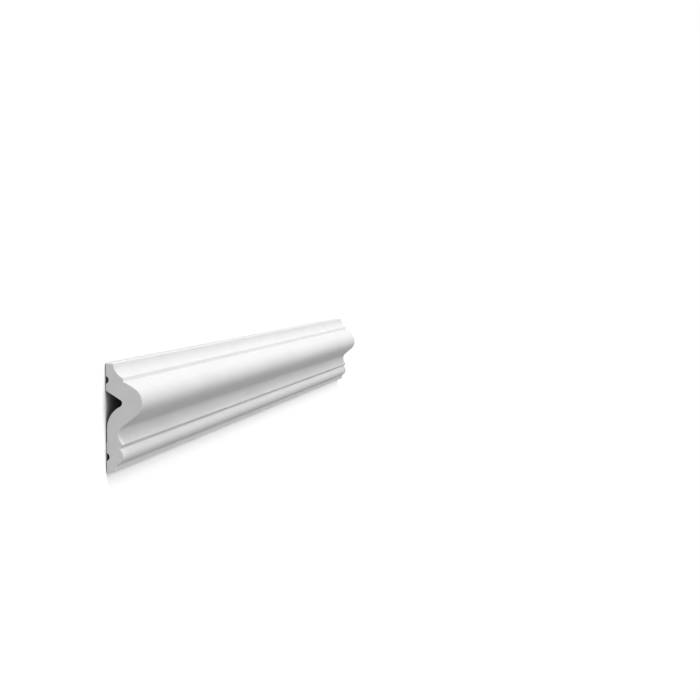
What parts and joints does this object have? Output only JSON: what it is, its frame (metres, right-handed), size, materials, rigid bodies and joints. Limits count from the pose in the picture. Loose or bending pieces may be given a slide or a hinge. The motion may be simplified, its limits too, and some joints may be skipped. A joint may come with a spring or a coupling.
{
  "type": "panel moulding",
  "caption": "White hollow-backed panel moulding with a rounded nose, coves and a bead, square at one end and mitred at the other for an inside corner.",
  "frame": {"origin": "middle of the footprint, on the back plane that the lands lie on", "axes": "+X along the length towards the mitred end, +Y towards the moulding's top edge, +Z out from the back towards the nose"},
  "size_m": [0.708, 0.065, 0.0222],
  "materials": {
    "primed_foam": "factory-primed white, matt"
  },
  "bodies": {
    "root": {"panel_moulding": "primed_foam"}
  },
  "joints": []
}
